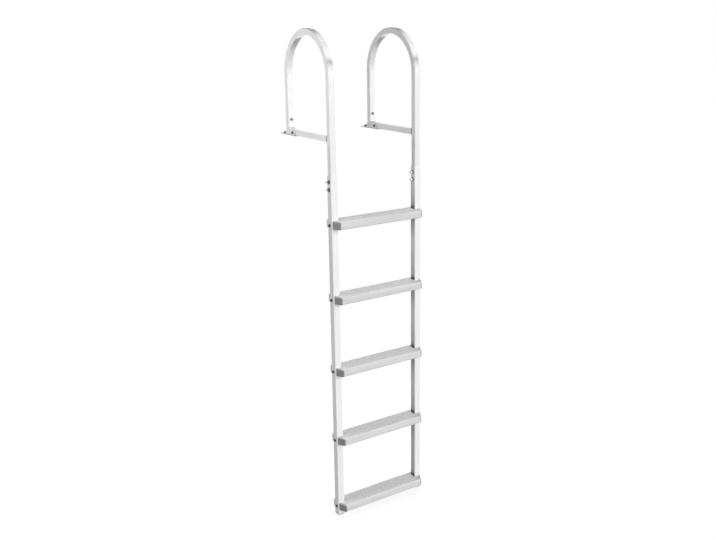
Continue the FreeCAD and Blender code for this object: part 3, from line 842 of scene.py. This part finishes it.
class LADDER_OT_bolts(bpy.types.Operator):
    """Finish the bolts, nuts and washers, and cut threads on the free ends of the bolts."""

    bl_idname = "ladder.bolts"
    bl_label = "Bolts"

    def execute(self, context):
        colours, sizes = colours_and_sizes(context)
        steel = stainless_steel("stainless_bolts", colours.bolt)
        dull = stainless_steel("stainless_bolts_dull", colours.dark_bolt)
        # The right-hand splice gets a painted highlight, and its tips stay darker as painted shade.
        tip_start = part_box("splice_bolts_right")[0].x + sizes.tip_length
        pale = stainless_steel("stainless_bolts_bright", colours.highlight_bolt, tip=(colours.bolt, tip_start))
        # Painted highlight: the left-hand threads are paler than their bolts.
        thread_steel = {"left": stainless_steel("stainless_threads", colours.thread), "right": pale}
        # Painted shade: dark rings round the splice nuts.
        rubber = gritted_rubber("rubber_shade_ring", colours.shade_ring, colours.shade_ring)
        finish_nodes(["leg_bolt_left", "leg_bolt_right", "foot_bolt_right", "splice_bolts_left"], steel)
        finish_nodes(["step_bolts_left", "step_bolts_right", "foot_bolt_left"], dull)
        finish_nodes(["step_washers_left", "step_washers_right"], dull)
        finish_nodes(["splice_bolts_right"], pale)
        thread = thread_tree()
        shade_ring = shade_ring_tree()
        row = {"Bolts": sizes.splice_bolts, "Step": Vector((0, 0, -sizes.splice_spacing))}
        for side in SIDES:
            low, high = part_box("splice_bolts_" + side)
            middle = (low.y + high.y) / 2
            thread_end = low.x + sizes.thread_ridge + sizes.thread_length
            stile_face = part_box("stile_" + side)[0].x
            shade_rings = made_by_nodes("splice_shade_rings_" + side, shade_ring, {
                **row,
                "First": Vector((stile_face - sizes.shade_ring_thickness, middle, -sizes.splice_height)),
                "Radius": sizes.shade_ring_radius,
                "Thickness": sizes.shade_ring_thickness,
                "Material": rubber,
            })
            carry(shade_rings)
            threads = made_by_nodes("splice_threads_" + side, thread, {
                **row,
                "First": Vector((thread_end, middle, -sizes.splice_height)),
                "Axis": Vector((-1, 0, 0)),
                "Turns": sizes.thread_length / sizes.thread_pitch,
                "Length": sizes.thread_length,
                "Radius": sizes.thread_radius,
                "Ridge": sizes.thread_ridge,
                "Material": thread_steel[side],
            })
            carry(threads)
        return {"FINISHED"}


class LADDER_OT_steps(bpy.types.Operator):
    """Anodise the step extrusions."""

    bl_idname = "ladder.steps"
    bl_label = "Steps"

    def execute(self, context):
        colours = context.scene.dock_ladder.colours
        finish = satin_aluminium(
            "extruded_aluminium_step", colours.step, colours.step_streak,
            lambda tree: along_axis(tree, (SQUEEZE, 1.0, 1.0)), metal=0.05, gloss=MATT)
        finish_nodes(["step_%d" % number for number in STEPS], finish)
        return {"FINISHED"}


class LADDER_OT_treads(bpy.types.Operator):
    """Lay a studded rubber tread in each step."""

    bl_idname = "ladder.treads"
    bl_label = "Treads"

    def execute(self, context):
        colours, sizes = colours_and_sizes(context)
        rubber = gritted_rubber("gritted_rubber_tread", colours.tread, colours.tread_fleck)
        tree = tread_tree()
        for number in STEPS:
            low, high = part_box("step_pad_%d" % number)
            sheet_top = high.z - sizes.stud_height
            piece = made_by_nodes("tread_%d" % number, tree, {
                "Length": high.x - low.x,
                "Width": high.y - low.y,
                "Thickness": sheet_top - low.z,
                "Studs": int((high.x - low.x - sizes.stud_pitch) / sizes.stud_pitch),
                "Rows": sizes.stud_rows,
                "Stud pitch": sizes.stud_pitch,
                "Row pitch": sizes.row_pitch,
                "Stud size": Vector((sizes.stud_length, sizes.stud_width, sizes.stud_height)),
                "Centre": Vector(((low.x + high.x) / 2, (low.y + high.y) / 2, sheet_top)),
                "Material": rubber,
            })
            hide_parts("step_pad_%d" % number)
            carry(piece)
        return {"FINISHED"}


class LADDER_OT_step_plugs(bpy.types.Operator):
    """Finish the moulded plugs in the ends of the steps."""

    bl_idname = "ladder.step_plugs"
    bl_label = "Step plugs"

    def execute(self, context):
        colours, sizes = colours_and_sizes(context)
        plastic = moulded_plastic("moulded_nylon_plug", colours.plug, colours.back_plug, sizes)
        for side in SIDES:
            finish_nodes(["step_plugs_%s_%d" % (side, number) for number in STEPS], plastic)
        return {"FINISHED"}


class LADDER_OT_stage(bpy.types.Operator):
    """Set up the pale floor, the soft lights and the camera."""

    bl_idname = "ladder.stage"
    bl_label = "Stage"

    def execute(self, context):
        scene = context.scene
        stage = scene.dock_ladder.stage
        scene.view_settings.view_transform = "Standard"
        self.make_sky(scene, stage)
        self.make_floor(scene, stage)
        for name, strength, direction in (
                ("key", stage.key, Vector((0.28, -0.86, 0.3))),
                ("back", stage.back, Vector((0.3, 0.75, 0.6)))):
            lamp, holder = self.make_lamp(scene, name, "SUN", strength, direction)
            lamp.angle = stage.softness
        for name, power, size, place, target in (
                ("side", stage.side, 0.6, Vector((-0.9, -0.08, 0.4)), Vector((0.0, -0.2, 0.1))),
                ("window", stage.window, 1.0, Vector((-3.0, -0.5, 0.0)), Vector((0.0, -0.33, -0.4)))):
            lamp, holder = self.make_lamp(scene, name, "AREA", power, place - target)
            lamp.size = size
            holder.location = place
            holder.visible_camera = False
        self.make_camera(scene, stage)
        return {"FINISHED"}

    def seen_share(self, tree):
        """1 for rays that see a surface, straight, in a reflection or through glass, and 0 for its light."""
        ray = add_node(tree, "ShaderNodeLightPath").outputs
        seen = add_node(
            tree, "ShaderNodeMath", {0: ray["Is Camera Ray"], 1: ray["Is Glossy Ray"]}, operation="MAXIMUM")
        return add_node(
            tree, "ShaderNodeMath", {0: seen, 1: ray["Is Transmission Ray"]}, operation="MAXIMUM")

    def make_sky(self, scene, stage):
        """White to the eye and in reflections, and a plain soft grey as light."""
        sky = bpy.data.worlds.new("studio_sky")
        sky.use_nodes = True
        tree = sky.node_tree
        tree.nodes.clear()
        strength = add_node(
            tree, "ShaderNodeMapRange", {"Value": self.seen_share(tree), "To Min": stage.sky, "To Max": 1.0})
        glow = add_node(
            tree, "ShaderNodeBackground", {"Color": (1.0, 1.0, 1.0, 1.0), "Strength": strength})
        add_node(tree, "ShaderNodeOutputWorld", {"Surface": glow})
        scene.world = sky

    def make_floor(self, scene, stage):
        """Matt pale floor under the feet, lifted to white where it is seen, which keeps its shadow."""
        material, tree = new_material("studio_floor")
        lift = add_node(
            tree, "ShaderNodeMath", {0: self.seen_share(tree), 1: stage.floor_glow}, operation="MULTIPLY")
        matt = add_node(tree, "ShaderNodeBsdfDiffuse", {"Color": scene.dock_ladder.colours.floor})
        glow = add_node(tree, "ShaderNodeEmission", {"Color": (1.0, 1.0, 1.0, 1.0), "Strength": lift})
        both = add_node(tree, "ShaderNodeAddShader", {0: matt, 1: glow})
        add_node(tree, "ShaderNodeOutputMaterial", {"Surface": both})
        gap = 1 * MM
        height = cad_box[0].z - gap
        half = stage.floor_size / 2
        mesh = bpy.data.meshes.new("floor")
        signs = ((-1, -1), (1, -1), (1, 1), (-1, 1))
        corners = [(half * x, half * y, height) for x, y in signs]
        mesh.from_pydata(corners, [], [(0, 1, 2, 3)])
        mesh.materials.append(material)
        floor = bpy.data.objects.new("floor", mesh)
        scene.collection.objects.link(floor)

    def make_lamp(self, scene, name, kind, energy, direction):
        """Lamp that shines from a direction, and the object that holds it."""
        lamp = bpy.data.lights.new(name, kind)
        lamp.energy = energy
        holder = bpy.data.objects.new(name, lamp)
        holder.rotation_euler = direction.to_track_quat("Z", "Y").to_euler()
        scene.collection.objects.link(holder)
        return lamp, holder

    def make_camera(self, scene, stage):
        """Camera at the height of the handrails, looking a little down on the ladder from its left."""
        camera = bpy.data.cameras.new("camera")
        camera.lens = stage.lens
        camera.sensor_width = 36
        camera.shift_x = stage.shift[0]
        camera.shift_y = stage.shift[1]
        camera.clip_end = 2 * stage.floor_size
        holder = bpy.data.objects.new("camera", camera)
        turn = Matrix.Rotation(-stage.yaw, 4, "Z")
        tilt = Matrix.Rotation(math.pi / 2 - stage.pitch, 4, "X")
        lean = Matrix.Rotation(stage.roll, 4, "Z")
        holder.matrix_world = Matrix.Translation(stage.eye) @ turn @ tilt @ lean
        scene.collection.objects.link(holder)
        scene.camera = holder


class LADDER_PT_pieces(bpy.types.Panel):
    """The ladder's pieces and settings in the sidebar."""

    bl_idname = "LADDER_PT_pieces"
    bl_label = "Dock ladder"
    bl_space_type = "VIEW_3D"
    bl_region_type = "UI"
    bl_category = "Ladder"

    def draw(self, context):
        for operator in OPERATORS:
            self.layout.operator(operator.bl_idname)
        settings = context.scene.dock_ladder
        for group in (settings.colours, settings.sizes, settings.stage):
            box = self.layout.box()
            for name in group.bl_rna.properties.keys():
                if name not in ("rna_type", "name"):
                    box.prop(group, name)


GROUPS = (LadderColours, LadderSizes, LadderStage, LadderSettings)
OPERATORS = (
    LADDER_OT_hoops,
    LADDER_OT_crossbars,
    LADDER_OT_stiles,
    LADDER_OT_brackets,
    LADDER_OT_bolts,
    LADDER_OT_steps,
    LADDER_OT_treads,
    LADDER_OT_step_plugs,
    LADDER_OT_stage,
)


def register():
    for item in (*GROUPS, *OPERATORS, LADDER_PT_pieces):
        bpy.utils.register_class(item)
    bpy.types.Scene.dock_ladder = PointerProperty(
        name="Dock ladder", description="Settings of the ladder", type=LadderSettings)


def unregister():
    del bpy.types.Scene.dock_ladder
    for item in reversed((*GROUPS, *OPERATORS, LADDER_PT_pieces)):
        bpy.utils.unregister_class(item)


def main():
    register()
    bpy.ops.ladder.hoops()
    bpy.ops.ladder.crossbars()
    bpy.ops.ladder.stiles()
    bpy.ops.ladder.brackets()
    bpy.ops.ladder.bolts()
    bpy.ops.ladder.steps()
    bpy.ops.ladder.treads()
    bpy.ops.ladder.step_plugs()
    bpy.ops.ladder.stage()


if __name__ == "__main__":
    main()
